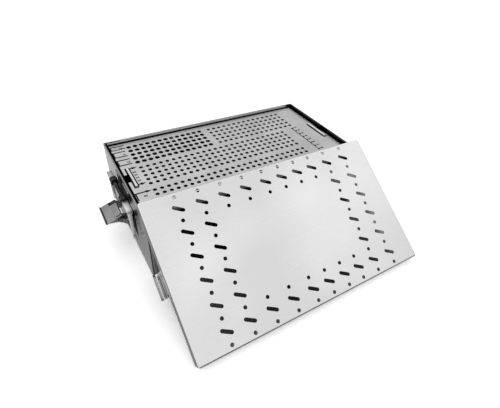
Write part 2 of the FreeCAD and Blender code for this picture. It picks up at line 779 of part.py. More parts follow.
def main():
    os.makedirs("parts", exist_ok=True)
    save("box_shell", box_shell())
    both_sides("rack_rail", rack_rail())
    save("rack_top_plate", rack_top_plate())
    save("rack_guide_plate", rack_guide_plate())
    save("rack_guide_brackets", guide_brackets())
    save("rack_base_plate", rack_base_plate())
    save("rack_posts", rack_posts())
    both_sides("rack_handle", rack_grip())
    save("lower_tray", lower_tray())
    both_sides("latch_plate", latch_plate())
    both_sides("latch_rivets", latch_rivets())
    both_sides("lever_pin", lever_pin())
    both_sides("latch_lever", latch_lever())
    both_sides("latch_bail", latch_bail())
    both_sides("bail_pins", bail_pins())
    both_sides("catch_bar", catch_bar())
    save("lid_pan", lean_lid(lid_pan()))
    save("lid_keeper_right", lean_lid(lid_keeper()))
    save("lid_keeper_left", lean_lid(lid_keeper().mirror(vec(0, 0, 0), X)))
    save("keeper_rivets_right", lean_lid(keeper_rivets()))
    save("keeper_rivets_left", lean_lid(keeper_rivets().mirror(vec(0, 0, 0), X)))
    print(f"lid lean {math.degrees(LEAN):.3f}")
    for name, value in (("bail pin", bail_pin_place(0)), ("bar", bar_place()), ("closed bar", closed_bar_place())):
        print(name, value)


main()
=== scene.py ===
import bpy
import json
import math
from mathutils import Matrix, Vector


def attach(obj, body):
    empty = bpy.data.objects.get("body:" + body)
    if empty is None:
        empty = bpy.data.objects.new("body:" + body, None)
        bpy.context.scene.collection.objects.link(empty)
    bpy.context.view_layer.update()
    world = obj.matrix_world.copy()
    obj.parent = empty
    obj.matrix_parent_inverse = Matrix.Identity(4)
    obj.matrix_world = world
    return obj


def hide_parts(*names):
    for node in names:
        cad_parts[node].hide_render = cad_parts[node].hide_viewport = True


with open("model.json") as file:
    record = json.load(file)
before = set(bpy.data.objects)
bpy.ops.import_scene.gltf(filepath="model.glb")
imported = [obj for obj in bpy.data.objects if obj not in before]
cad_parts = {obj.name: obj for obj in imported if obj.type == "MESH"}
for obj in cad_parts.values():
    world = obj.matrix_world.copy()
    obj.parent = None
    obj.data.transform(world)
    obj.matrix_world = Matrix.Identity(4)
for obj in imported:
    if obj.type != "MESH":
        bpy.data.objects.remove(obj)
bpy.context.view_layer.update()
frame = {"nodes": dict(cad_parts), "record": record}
nodes = frame["nodes"]
print("frame loaded,", len(nodes), "nodes")

mm = 0.001
near = 0.1           # how close counts as the same place, in millimetres
facing = 0.9         # how much of a normal lies along an axis where a face looks that way
fineMerge = 0.001    # merge distance where small shapes lie close together, in millimetres
smoothAngle = 40


# helpers for modelling by hand

def openMesh():
    bpy.ops.object.mode_set(mode="EDIT")


def shutMesh():
    bpy.ops.object.mode_set(mode="OBJECT")


def deselectAll():
    if bpy.context.mode != "OBJECT":
        shutMesh()
    bpy.ops.object.select_all(action="DESELECT")


def pickOnly(obj):
    deselectAll()
    obj.select_set(True)
    bpy.context.view_layer.objects.active = obj


def newPiece(name):
    # an empty mesh, open in edit mode
    deselectAll()
    bpy.ops.object.add(type="MESH", location=(0, 0, 0))
    piece = bpy.context.object
    piece.name = name
    piece.data.name = name
    openMesh()
    return piece


def addCube(low, high):
    size = [(b - a) * mm for a, b in zip(low, high)]
    middle = [(a + b) / 2 * mm for a, b in zip(low, high)]
    bpy.ops.mesh.primitive_cube_add(size=1, location=middle, scale=size)


def addRodY(x, z, radius, low, high, sides=32):
    bpy.ops.mesh.primitive_cylinder_add(
        vertices=sides, radius=radius * mm, depth=(high - low) * mm,
        location=(x * mm, (low + high) / 2 * mm, z * mm), rotation=(math.pi / 2, 0, 0))


def pull(x=0, y=0, z=0):
    way = (x * mm, y * mm, z * mm)
    bpy.ops.mesh.extrude_region_move(TRANSFORM_OT_translate={"value": way})


def turnX(y, z, angle, steps):
    # a right-handed turn; the spin itself counts the other way
    bpy.ops.mesh.spin(steps=steps, angle=-math.radians(angle), center=(0, y * mm, z * mm),
                      axis=(1, 0, 0))


def turnY(x, z, angle, steps):
    bpy.ops.mesh.spin(steps=steps, angle=-math.radians(angle), center=(x * mm, 0, z * mm),
                      axis=(0, 1, 0))


def stretch(x=1, y=1, z=1, about=(0, 0, 0)):
    bpy.ops.transform.resize(value=(x, y, z), center_override=[a * mm for a in about])


def shift(x=0, y=0, z=0):
    bpy.ops.transform.translate(value=(x * mm, y * mm, z * mm))


def selectWhere(piece, kind, test):
    # selects the faces or edges whose middle passes the test, in millimetres
    bpy.ops.mesh.select_all(action="DESELECT")
    bpy.ops.mesh.select_mode(type=kind)
    shutMesh()
    mesh = piece.data
    for item in mesh.polygons if kind == "FACE" else mesh.edges:
        if kind == "FACE":
            spot = item.center
        else:
            ends = [mesh.vertices[i].co for i in item.vertices]
            spot = (ends[0] + ends[1]) / 2
        if test(spot / mm, item):
            item.select = True
    openMesh()


def addHull(piece, ends, low, high):
    # a plate wrapped round two rods; the vertex count is up to date outside edit mode
    shutMesh()
    before = len(piece.data.vertices)
    openMesh()
    for x, z, radius in ends:
        addRodY(x, z, radius, low, high)
    bpy.ops.mesh.select_all(action="DESELECT")
    bpy.ops.mesh.select_mode(type="VERT")
    shutMesh()
    for vertex in piece.data.vertices[before:]:
        vertex.select = True
    openMesh()
    bpy.ops.mesh.convex_hull()


def closeMesh(merge=0.01):
    bpy.ops.mesh.select_all(action="SELECT")
    bpy.ops.mesh.remove_doubles(threshold=merge * mm)
    bpy.ops.mesh.normals_make_consistent(inside=False)
    shutMesh()


def smoothFaces():
    bpy.ops.object.shade_smooth_by_angle(angle=math.radians(smoothAngle))


def softenEdges(piece, width, segments=2, angle=35):
    pickOnly(piece)
    bevel = piece.modifiers.new("softEdges", "BEVEL")
    bevel.width = width * mm
    bevel.segments = segments
    bevel.limit_method = "ANGLE"
    bevel.angle_limit = math.radians(angle)
    bevel.harden_normals = False
    bpy.ops.object.modifier_apply(modifier=bevel.name)
    smoothFaces()


def applyPlace():
    bpy.ops.object.transform_apply(location=True, rotation=True, scale=True)


def placePiece(piece, place, turn):
    piece.rotation_euler = [math.radians(a) for a in turn]
    piece.location = [a * mm for a in place]
    pickOnly(piece)
    applyPlace()


def mirrored(piece, name):
    # the same piece on the box's left side
    pickOnly(piece)
    bpy.ops.object.duplicate()
    twin = bpy.context.object
    twin.name = name
    twin.data.name = name
    bpy.ops.transform.resize(value=(-1, 1, 1), center_override=(0, 0, 0))
    applyPlace()
    openMesh()
    bpy.ops.mesh.select_all(action="SELECT")
    bpy.ops.mesh.normals_make_consistent(inside=False)
    shutMesh()
    return twin


def dress(obj, material):
    obj.data.materials.clear()
    obj.data.materials.append(material)


def finishPiece(piece, body, material, replaced):
    dress(piece, material)
    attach(piece, body)
    if replaced:
        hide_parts(*replaced)


# helpers for materials

def emptyTree(owner):
    owner.use_nodes = True
    owner.node_tree.nodes.clear()
    return owner.node_tree


def addNode(tree, kind, place, **inputs):
    node = tree.nodes.new(kind)
    node.location = place
    for key, value in inputs.items():
        node.inputs[key].default_value = value
    return node


def addMath(tree, operation, place, *terms):
    # each term is a number or another node's output
    node = addNode(tree, "ShaderNodeMath", place)
    node.operation = operation
    for socket, term in zip(node.inputs, terms):
        if isinstance(term, float):
            socket.default_value = term
        else:
            tree.links.new(term, socket)
    return node.outputs[0]


def addRange(tree, place, source, start=(0.0, 1.0), end=(0.0, 1.0)):
    node = addNode(tree, "ShaderNodeMapRange", place)
    for key, value in zip(("From Min", "From Max", "To Min", "To Max"), (*start, *end)):
        node.inputs[key].default_value = value
    tree.links.new(source, node.inputs["Value"])
    return node


def addDot(tree, place, source, direction):
    node = addNode(tree, "ShaderNodeVectorMath", place)
    node.operation = "DOT_PRODUCT"
    node.inputs[1].default_value = direction
    tree.links.new(source, node.inputs[0])
    return node.outputs["Value"]


def stepAt(tree, source, edge, soft, rising):
    # passes between 0 and 1 where a coordinate meets an edge, in millimetres
    start = ((edge - soft) * mm, (edge + soft) * mm)
    end = (0.0, 1.0) if rising else (1.0, 0.0)
    return addRange(tree, (0, 700), source, start, end).outputs["Result"]


def allOf(tree, steps):
    # 1 only where every step is 1
    mask = steps[0]
    for step in steps[1:]:
        mask = addMath(tree, "MULTIPLY", (200, 700), mask, step)
    return mask


def zoned(tree, coords, color, zones):
    # other tones between the edges of each zone; x and y are sizes, the same on both sides
    if not zones:
        return color
    split = addNode(tree, "ShaderNodeSeparateXYZ", (-600, 700))
    tree.links.new(coords.outputs["Object"], split.inputs[0])
    axes = {"z": split.outputs["Z"], "front": split.outputs["Y"]}
    for key in ("x", "y"):
        axes[key] = addMath(tree, "ABSOLUTE", (-400, 700), split.outputs[key.upper()])
    for zone in zones:
        steps = [stepAt(tree, axes[key], edge, zone.get("soft", 0.15), rising)
                 for key in axes if key in zone
                 for edge, rising in zip(zone[key], (True, False)) if edge is not None]
        mix = addNode(tree, "ShaderNodeMix", (400, 500))
        mix.data_type = "RGBA"
        tree.links.new(allOf(tree, steps), mix.inputs["Factor"])
        tree.links.new(color, mix.inputs[6])
        mix.inputs[7].default_value = (zone["tone"],) * 3 + (1,)
        color = mix.outputs[2]
    return color


# materials: sheet steel in its finishes; a zone's tone is its colour, its edge that at a low
# angle. Many zones are painted shade or painted light, as noted at each.

def steel(name, look):
    material = bpy.data.materials.new(name)
    tree = emptyTree(material)
    link = tree.links.new
    out = addNode(tree, "ShaderNodeOutputMaterial", (900, 0))
    shader = addNode(tree, "ShaderNodeBsdfPrincipled", (600, 0), Metallic=1.0)
    link(shader.outputs["BSDF"], out.inputs["Surface"])
    coords = addNode(tree, "ShaderNodeTexCoord", (-1000, 0))

    # grain drawn out along the brushing
    brush = addNode(tree, "ShaderNodeMapping", (-800, 200), Scale=look["brushScale"])
    link(coords.outputs["Object"], brush.inputs["Vector"])
    grain = addNode(tree, "ShaderNodeTexNoise", (-600, 200), Scale=1.0, Detail=4.0, Roughness=0.6)
    link(brush.outputs["Vector"], grain.inputs["Vector"])

    # broad soft clouds, as on rolled sheet
    clouds = addNode(tree, "ShaderNodeTexNoise", (-600, -60), Scale=look["cloudScale"],
                     Detail=2.0, Roughness=0.5)
    link(coords.outputs["Object"], clouds.inputs["Vector"])

    # fine specks and handling marks
    specks = addNode(tree, "ShaderNodeTexNoise", (-600, -320), Scale=look["speckScale"],
                     Detail=5.0, Roughness=0.7)
    link(coords.outputs["Object"], specks.inputs["Vector"])

    mixed = addMath(tree, "MULTIPLY_ADD", (-380, 60), grain.outputs["Fac"], look["grainShare"],
                    clouds.outputs["Fac"])
    ramp = addNode(tree, "ShaderNodeValToRGB", (-180, 120))
    for element, position, tone in zip(ramp.color_ramp.elements, look["spread"], look["tone"]):
        element.position = position
        element.color = (tone, tone, tone, 1)
    link(mixed, ramp.inputs["Fac"])
    toned = [zone for zone in look["zones"] if "tone" in zone]
    link(zoned(tree, coords, ramp.outputs["Color"], toned), shader.inputs["Base Color"])

    # seen at a low angle steel turns white, unless a zone says otherwise; where such a zone is
    # painted shade it darkens the reflection too
    lowAngle = [dict(zone, tone=zone["edge"]) for zone in look["zones"] if "edge" in zone]
    if lowAngle:
        white = addNode(tree, "ShaderNodeRGB", (200, 900))
        white.outputs[0].default_value = (1, 1, 1, 1)
        link(zoned(tree, coords, white.outputs[0], lowAngle), shader.inputs["Specular Tint"])

    rough = addRange(tree, (200, -60), specks.outputs["Fac"], end=look["rough"])
    link(rough.outputs["Result"], shader.inputs["Roughness"])

    wave = addNode(tree, "ShaderNodeBump", (200, -300), Strength=look["waveStrength"],
                   Distance=look["waveHeight"] * mm)
    link(clouds.outputs["Fac"], wave.inputs["Height"])
    scratch = addNode(tree, "ShaderNodeBump", (400, -300), Strength=look["grainStrength"],
                      Distance=look["grainHeight"] * mm)
    link(grain.outputs["Fac"], scratch.inputs["Height"])
    link(wave.outputs["Normal"], scratch.inputs["Normal"])
    link(scratch.outputs["Normal"], shader.inputs["Normal"])
    return material


# what a finish has unless it says otherwise
plainLook = {"brushScale": (300, 300, 300), "cloudScale": 40.0, "speckScale": 500.0,
             "grainShare": 0.5, "spread": (0.5, 1.0), "waveStrength": 0.2, "waveHeight": 0.1,
             "grainStrength": 0.2, "grainHeight": 0.02, "zones": ()}
rim = (105.8, None)
finishes = {
    "boxSteel": {
        "tone": (0.28, 0.36), "rough": (0.12, 0.2), "brushScale": (60, 60, 1800),
        "cloudScale": 9.0, "speckScale": 220.0, "waveStrength": 0.25, "waveHeight": 0.6,
        "zones": [
            # painted shade: the wall behind the latch plate and behind each bail leg reflects
            # darker at a low angle, standing in for the hardware's shadow and dark reflection on
            # it
            {"x": (179.7, None), "y": (None, 27.0), "z": (72.0, 99.5), "soft": 0.3, "edge": 0.05},
            {"x": (179.7, None), "y": (24.0, 49.0), "z": (36.6, 84.0), "soft": 0.3, "edge": 0.04},
            # painted shade: the box's inside below the rim is nearly black
            {"x": (None, 179.4), "y": (None, 99.4), "tone": 0.03},
            # painted light on the rim's top band at the back, less on the end hems; painted shade
            # on the front hem and on the hems' inner faces
            {"z": rim, "tone": 0.6},
            {"z": rim, "front": (None, -96.5), "tone": 0.03},
            {"z": rim, "x": (176.4, None), "tone": 0.28},
            {"z": rim, "x": (None, 178.3), "y": (None, 97.3), "tone": 0.03}]},
    "rackSteel": {
        "tone": (0.50, 0.64), "rough": (0.28, 0.42), "brushScale": (40, 1500, 40),
        "cloudScale": 22.0, "speckScale": 420.0, "waveStrength": 0.15, "waveHeight": 0.4,
        "zones": [
            # painted shade: black along the plate's edges beside the gap, and in and round each
            # handle slot
            {"x": (173.3, None), "tone": 0.02},
            {"y": (94.6, None), "tone": 0.03},
            {"x": (162.4, 169.4), "y": (None, 25.4), "tone": 0.015}]},
    # nearly black: painted shade on the parts under the rack's plate
    "innerSteelPaintedShade": {
        "tone": (0.01, 0.03), "rough": (0.45, 0.6), "brushScale": (40, 1500, 40),
        "cloudScale": 12.0, "speckScale": 420.0, "waveStrength": 0.15, "waveHeight": 0.4,
        "grainStrength": 0.25},
    "lidSteel": {
        "tone": (0.76, 0.92), "spread": (0.5, 0.78), "rough": (0.2, 0.3),
        "brushScale": (50, 1400, 1400), "cloudScale": 5.0, "speckScale": 260.0,
        "grainShare": 0.2, "waveStrength": 0.4, "waveHeight": 2.0, "grainStrength": 0.06,
        # painted shade on the lid's side flanges and along its front edge
        "zones": [{"x": (181.3, None), "tone": 0.2}, {"front": (None, -248.9), "tone": 0.22}]},
    "gripSteel": {
        "tone": (0.66, 0.8), "rough": (0.15, 0.25), "brushScale": (60, 1500, 60),
        "cloudScale": 60.0, "grainStrength": 0.15,
        "zones": [{"front": (None, -130.0), "tone": 0.62}]},
    "plateSteel": {
        "tone": (0.12, 0.2), "rough": (0.2, 0.34), "zones": [{"z": (0.0, None), "edge": 0.2}]},
    "leverSteel": {
        "tone": (0.24, 0.29), "rough": (0.25, 0.35), "brushScale": (60, 1500, 60),
        "cloudScale": 60.0,
        "zones": [
            # painted shade in the crease inside the lip's bend
            {"x": (213.2, 214.9), "tone": 0.03},
            # painted highlight along the lip's outer edge
            {"x": (215.1, None), "tone": 0.5},
            {"y": (18.95, None), "z": (None, 57.0), "tone": 0.3},
            # painted shade: the lever's back end by the pin is nearly black and reflects darkly
            {"x": (None, 202.5), "front": (12.5, None), "tone": 0.03, "edge": 0.1}]},
    "bailSteel": {
        "tone": (0.36, 0.44), "rough": (0.34, 0.44),
        "zones": [
            # painted light on the front arm
            {"front": (None, -27.0), "z": (88.0, None), "tone": 0.68},
            # painted light on the legs
            {"y": (46.0, None), "z": (None, 86.0), "tone": 0.95},
            # painted shade on the legs' faces towards the wall
            {"x": (None, 184.3), "y": (46.0, None), "z": (None, 84.0), "tone": 0.03}]},
    "brightSteel": {"tone": (0.34, 0.46), "rough": (0.2, 0.34)},
    "darkSteel": {
        "tone": (0.01, 0.05), "rough": (0.14, 0.26), "brushScale": (500, 500, 500),
        "cloudScale": 90.0, "speckScale": 700.0, "waveStrength": 0.3, "waveHeight": 0.15,
        "grainStrength": 0.25},
    "etchedMark": {
        "tone": (0.01, 0.03), "rough": (0.5, 0.65), "brushScale": (900, 900, 900),
        "cloudScale": 60.0, "speckScale": 900.0, "waveStrength": 0.1, "waveHeight": 0.05,
        "grainStrength": 0.1},
}
steels = {name: steel(name, {**plainLook, **look}) for name, look in finishes.items()}
bySlot = {"steel_satin": "boxSteel", "steel_rack": "rackSteel", "steel_lid": "lidSteel",
          "steel_bright": "brightSteel"}
byNode = {"rack_guide_plate": "innerSteelPaintedShade", "rack_base_plate": "innerSteelPaintedShade",
          "rack_guide_brackets": "innerSteelPaintedShade", "rack_posts": "innerSteelPaintedShade",
          "lower_tray": "innerSteelPaintedShade"}
for side in ("left", "right"):
    byNode.update({"catch_bar_" + side: "darkSteel", "lever_pin_" + side: "plateSteel",
                   "bail_pins_" + side: "bailSteel", "latch_plate_" + side: "plateSteel"})
for part in frame["record"]["subparts"]:
    dress(nodes[part["node"]], steels[byNode.get(part["node"], bySlot[part["material_slot"]])])
print("materials made")


# marks etched on the rack's plate

marks = {"low": 104.28, "high": 104.34, "alongX": 2.6, "alongY": 1.8,
         "textSize": 5.2, "textSwell": 0.2, "textSteps": 3,
         "brackets": [(-172.6, -153.0, 88.6, 79.8), (-172.6, -155.4, 71.8, 58.2),
                      (-172.6, -155.2, 48.6, 35.0)],
         "arrows": [(-164.0, -152.6, 22.7), (-164.2, -152.2, -18.8), (-171.8, -151.6, -38.0)],
         "head": (8.0, 6.0), "shaftEnd": 5, "headMiddle": 4,
         "bar": (-172.2, -37.5, -52.4),
         "gauge": (128.7, 20.0, -54.4), "gaugeHead": (4.4, 6.0), "gaugeHeadUp": 2,
         "gaugeSteps": 8, "gaugePitch": 10.75, "gaugeUnit": 10, "tick": (1.2, 2.8),
         "tickDrop": 1.4, "gaugeText": (133.6, 25.0), "gaugeTextDrop": 2.8,
         "rowText": [("14", -161.0, 82.4), ("16", -161.0, 63.2), ("18", -161.0, 40.0),
                     ("20", -161.0, 11.6), ("22", -161.0, 4.2), ("24", -161.0, -3.2),
                     ("26", -161.0, -10.6), ("40", -164.0, -47.2)],
         "rowTextDrop": 1.3}
markDepth = marks["high"] - marks["low"]
markMiddle = (marks["low"] + marks["high"]) / 2


def markLine(x0, y0, x1, y1):
    # a straight etched line from one end to the other
    half = marks["alongX" if abs(y1 - y0) < abs(x1 - x0) else "alongY"] / 2
    length = math.hypot(x1 - x0, y1 - y0)
    bpy.ops.mesh.primitive_cube_add(
        size=1, location=((x0 + x1) / 2 * mm, (y0 + y1) / 2 * mm, markMiddle * mm),
        rotation=(0, 0, math.atan2(y1 - y0, x1 - x0)),
        scale=((length + 2 * half) * mm, 2 * half * mm, markDepth * mm))


def markHead(x, y, size, angle=0):
    # an arrow's head, pointing along the angle, from a triangle 1.5 long and the root of 3 wide
    long, wide = size
    bpy.ops.mesh.primitive_cylinder_add(
        vertices=3, radius=1, depth=markDepth * mm, location=(x * mm, y * mm, markMiddle * mm),
        rotation=(0, 0, math.radians(angle - 90)),
        scale=(wide / math.sqrt(3) * mm, long / 1.5 * mm, 1))


def markText(text, x, y):
    deselectAll()
    bpy.ops.object.text_add(location=(x * mm, y * mm, marks["low"] * mm))
    label = bpy.context.object
    label.data.body = text
    label.data.size = marks["textSize"] * mm
    label.data.extrude = markDepth * mm
    label.data.offset = marks["textSwell"] * mm
    label.data.resolution_u = marks["textSteps"]
    bpy.ops.object.convert(target="MESH")
    label = bpy.context.object
    applyPlace()
    return label


def makeRackMarks():
    piece = newPiece("rackMarks")
    for x0, x1, y0, y1 in marks["brackets"]:
        markLine(x0, y0, x0, y1)
        markLine(x0, y0, x1, y0)
        markLine(x0, y1, x1, y1)
    for x0, x1, y in marks["arrows"]:
        markLine(x0, y, x1 - marks["shaftEnd"], y)
        markHead(x1 - marks["headMiddle"], y, marks["head"])
    x, y0, y1 = marks["bar"]
    markLine(x, y0, x, y1)
    x, y0, y1 = marks["gauge"]
    markLine(x, y0, x, y1)
    markHead(x, y0 + marks["gaugeHeadUp"], marks["gaugeHead"], -90)
    textX, textY = marks["gaugeText"]
    tickIn, tickOut = marks["tick"]
    for i in range(marks["gaugeSteps"]):
        y = textY - i * marks["gaugePitch"] - marks["tickDrop"]
        markLine(x + tickIn, y, x + tickOut, y)
    shutMesh()
    labels = [markText(str(marks["gaugeUnit"] * (i + 1)), textX,
                       textY - marks["gaugeTextDrop"] - i * marks["gaugePitch"])
              for i in range(marks["gaugeSteps"])]
    labels += [markText(text, x, y - marks["rowTextDrop"]) for text, x, y in marks["rowText"]]
    deselectAll()
    for label in labels:
        label.select_set(True)
    piece.select_set(True)
    bpy.context.view_layer.objects.active = piece
    bpy.ops.object.join()
    openMesh()
    closeMesh(fineMerge)
    finishPiece(piece, "rack", steels["etchedMark"], None)


makeRackMarks()
print("rack marked")


# pieces of the right side, and their twins on the left

def makePair(make, stem, material, body, node):
    right = make()
    left = mirrored(right, stem + "Left")
    for piece, side in ((right, "right"), (left, "left")):
        finishPiece(piece, body.format(side), steels[material],
                    [node.format(side)])


handle = {"x": 165.8, "half": 23.75, "wide": 3.6, "top": 107.3, "low": 104.3, "legY": 19.0,
          "legWide": 3.6, "foot": 83.3, "footHalf": 4.5, "footHigh": 2.0, "round": 1.1,
          "roundSteps": 4, "soft": 0.25}


def makeHandle():
    # a round-edged grip with two legs drawn down through the plate, each spread into a foot
    piece = newPiece("rackHandleRight")
    x, half = handle["x"], handle["wide"] / 2
    addCube((x - half, -handle["half"], handle["low"]), (x + half, handle["half"], handle["top"]))
    bpy.ops.mesh.select_mode(type="EDGE")
    for y in (-1, 1):
        for edge in (-handle["legWide"] / 2, handle["legWide"] / 2):
            bpy.ops.mesh.select_all(action="SELECT")
            bpy.ops.mesh.bisect(plane_co=(0, (y * handle["legY"] + edge) * mm, 0),
                                plane_no=(0, 1, 0))
    for y in (-1, 1):
        selectWhere(piece, "FACE", lambda spot, face: face.normal.z < -facing
                    and abs(spot.y - y * handle["legY"]) < handle["legWide"] / 2)
        pull(z=handle["foot"] + handle["footHigh"] - handle["low"])
        pull()
        stretch(x=handle["footHalf"] / half, about=(x, 0, 0))
        pull(z=-handle["footHigh"])
    closeMesh()
    pickOnly(piece)
    openMesh()
    selectWhere(piece, "EDGE", lambda spot, edge: spot.z > handle["top"] - near
                and (abs(spot.x - x) > half - near or abs(spot.y) > handle["half"] - near))
    bpy.ops.mesh.bevel(offset=handle["round"] * mm, segments=handle["roundSteps"],
                       affect="EDGES")
    shutMesh()
    softenEdges(piece, handle["soft"], segments=1, angle=50)
    return piece


keeper = {"lean": 33.4562, "top": (0.0, -80.69, 124.32), "face": 181.7, "sheet": 0.8,
          "first": -2.5, "bend": -11.0, "slant": 3.0, "barX": 186.394, "barN": -25.426,
          "inner": 3.3, "lip": 2.5, "middle": -101.7, "half": 16.5, "soft": 0.22}


def makeKeeper():
    # a strip bent into a trough, made upright in the lid's own frame and then leaned with the lid
    piece = newPiece("lidKeeperRight")
    face, sheet = keeper["face"], keeper["sheet"]
    outer = keeper["inner"] + sheet
    low, high = keeper["middle"] - keeper["half"], keeper["middle"] + keeper["half"]
    addCube((face, low, keeper["bend"]), (face + sheet, high, keeper["first"]))
    selectWhere(piece, "FACE", lambda spot, face: face.normal.z < -facing)
    pull(z=-keeper["slant"])
    shift(x=keeper["barX"] - outer - face)
    pull(z=keeper["barN"] - keeper["bend"] + keeper["slant"])
    turnY(keeper["barX"], keeper["barN"], -180, steps=14)
    pull(z=keeper["lip"])
    closeMesh()
    softenEdges(piece, keeper["soft"])
    placePiece(piece, keeper["top"], (keeper["lean"], 0, 0))
    return piece


bail = {"barX": 186.518, "roof": 91.5, "pinX": 186.2, "pinZ": 45.0, "half": 51.0,
        "armIn": 28.0, "sheet": 2.0, "bend": 3.5, "topHalf": 3.9,
        "shoulder": ((2.5, 0.9), (4.0, 0.82)), "taper": 8.0, "legHalf": 2.3, "foot": 39.0,
        "footCorner": 2.1, "cornerSteps": 4, "soft": 0.4}


def makeBail():
    # a flat arm, bent down at its outer end and drawn out into a narrow leg
    piece = newPiece("latchBailRight")
    x, roof, bend = bail["barX"], bail["roof"], bail["bend"]
    addCube((x - bail["topHalf"], bail["armIn"], roof - bail["sheet"]),
            (x + bail["topHalf"], bail["half"] - bend, roof))
    selectWhere(piece, "FACE", lambda spot, face: face.normal.y > facing)
    turnX(bail["half"] - bend, roof - bend, -90, steps=6)
    level, half = roof - bend, bail["topHalf"]
    for down, share in bail["shoulder"]:
        pull(z=-down)
        stretch(x=share, about=(x, 0, 0))
        level -= down
        half *= share
    pull(z=-bail["taper"])
    stretch(x=bail["legHalf"] / half, about=(x, 0, 0))
    level -= bail["taper"]
    pull(z=-(level - bail["pinZ"]))
    shift(x=bail["pinX"] - x)
    pull(z=-(bail["pinZ"] - bail["foot"]))
    selectWhere(piece, "EDGE", lambda spot, edge: spot.z < bail["foot"] + near
                and abs(spot.x - bail["pinX"]) > bail["legHalf"] / 2)
    bpy.ops.mesh.bevel(offset=bail["footCorner"] * mm, segments=bail["cornerSteps"],
                       affect="EDGES")
    bpy.ops.mesh.select_all(action="SELECT")
    bpy.ops.mesh.duplicate()
    stretch(y=-1)
    closeMesh()
    softenEdges(piece, bail["soft"])
    return piece


# each step of a collar goes so far along and has this share of its radius
catchBar = {"x": 186.518, "z": 90.499, "radius": 3.0, "collar": 5.6, "inner": 18.0, "sides": 40,
            "steps": ((0.0, 0.86), (0.8, 1.0), (3.6, 1.0), (0.5, 0.88), (0.9, 0.88), (0.5, 1.0),
                      (2.9, 1.0), (0.8, 0.86)),
            "rim": 1.6, "dish": 0.5, "soft": 0.25}


def makeCatchBar():
    # a round bar with a grooved collar at each end
    piece = newPiece("catchBarRight")
    x, z, inner = catchBar["x"], catchBar["z"], catchBar["inner"]
    addRodY(x, z, catchBar["radius"], -inner, inner, catchBar["sides"])
    for side in (-1, 1):
        selectWhere(piece, "FACE", lambda spot, face: spot.y * side > inner - near
                    and face.normal.y * side > facing)
        now = catchBar["radius"]
        for along, share in catchBar["steps"]:
            size = catchBar["collar"] * share
            pull(y=side * along)
            stretch(x=size / now, z=size / now, about=(x, 0, z))
            now = size
        bpy.ops.mesh.inset(thickness=catchBar["rim"] * mm)
        pull(y=-side * catchBar["dish"])
    closeMesh()
    softenEdges(piece, catchBar["soft"], segments=1, angle=50)
    return piece


# the flange's eye is a little smaller than the cheek's, so that no circle is shared
lever = {"pinX": 195.2, "pinZ": 54.0, "bailX": 186.2, "bailZ": 45.0, "cheek": (19.0, 20.5),
         "eye": 5.0, "bailEye": 2.7, "cheekEye": 3.9, "flangeIn": 0.3,
         "flangeTip": (210.0, 52.9, 0.5), "sheet": 1.1, "slotEnd": 5.0, "tabEnd": -4.0,
         "tabBend": 1.6, "tabDrop": 1.0, "tabs": ((-14.7, 14.7), (16.8, 19.6), (-19.6, -16.8)),
         "reach": 17.7, "lipBend": 2.2, "lipHigh": 1.8, "slope": 20.0, "soft": 0.25}


def makeLever():
    # thumb plate reaching over its pin, with a lip at the outer edge and a cheek at each end
    piece = newPiece("latchLeverRight")
    wide, top = lever["cheek"][1], lever["eye"]
    under = top - lever["sheet"]
    addCube((lever["slotEnd"], -wide, under), (lever["reach"], wide, top))
    selectWhere(piece, "FACE", lambda spot, face: face.normal.x > facing)
    turnY(lever["reach"], under + lever["lipBend"], -90, steps=6)
    pull(z=lever["lipHigh"])
    for low, high in lever["tabs"]:
        addCube((lever["tabEnd"], low, under), (lever["slotEnd"], high, top))
        selectWhere(piece, "FACE", lambda spot, face: face.normal.x < -facing
                    and abs(spot.x - lever["tabEnd"]) < near and low < spot.y < high)
        turnY(lever["tabEnd"], top - lever["tabBend"], -90, steps=6)
        pull(z=-lever["tabDrop"])
    closeMesh(fineMerge)
    softenEdges(piece, lever["soft"])
    placePiece(piece, (lever["pinX"], 0, lever["pinZ"]), (0, lever["slope"], 0))
    bailEye = (lever["bailX"], lever["bailZ"], lever["bailEye"])
    pinEye = (lever["pinX"], lever["pinZ"], lever["cheekEye"])
    flangeEye = (lever["pinX"], lever["pinZ"], lever["cheekEye"] - lever["flangeIn"])
    for side in (-1, 1):
        low, high = sorted(side * y for y in lever["cheek"])
        addHull(piece, (bailEye, pinEye), low, high)
        addHull(piece, (flangeEye, lever["flangeTip"]), low, high)
    closeMesh(fineMerge)
    pickOnly(piece)
    smoothFaces()
    return piece


spring = {"x": 195.2, "z": 54.0, "coil": 3.2, "wire": 0.5, "half": 14.2, "turns": 13,
          "perTurn": 12}


def makeSpring():
    # coil spring round the lever's pin, between the two ears
    deselectAll()
    curve = bpy.data.curves.new("leverSpringRight", "CURVE")
    curve.dimensions = "3D"
    curve.bevel_depth = spring["wire"] * mm
    curve.bevel_resolution = 3
    line = curve.splines.new("NURBS")
    steps = spring["turns"] * spring["perTurn"]
    line.points.add(steps)
    for i, point in enumerate(line.points):
        angle = 2 * math.pi * i / spring["perTurn"] + math.pi / 2
        x = spring["x"] + spring["coil"] * math.cos(angle)
        y = -spring["half"] + 2 * spring["half"] * i / steps
        z = spring["z"] + spring["coil"] * math.sin(angle)
        point.co = (x * mm, y * mm, z * mm, 1)
    line.order_u = 3
    line.use_endpoint_u = True
    piece = bpy.data.objects.new("leverSpringRight", curve)
    bpy.context.collection.objects.link(piece)
    pickOnly(piece)
    bpy.ops.object.convert(target="MESH")
    piece = bpy.context.object
    bpy.ops.object.shade_smooth()
    return piece


makePair(makeHandle, "rackHandle", "gripSteel", "rack_handle_{}", "rack_handle_{}")
makePair(makeKeeper, "lidKeeper", "gripSteel", "lid", "lid_keeper_{}")
print("rack handles and lid keepers made")

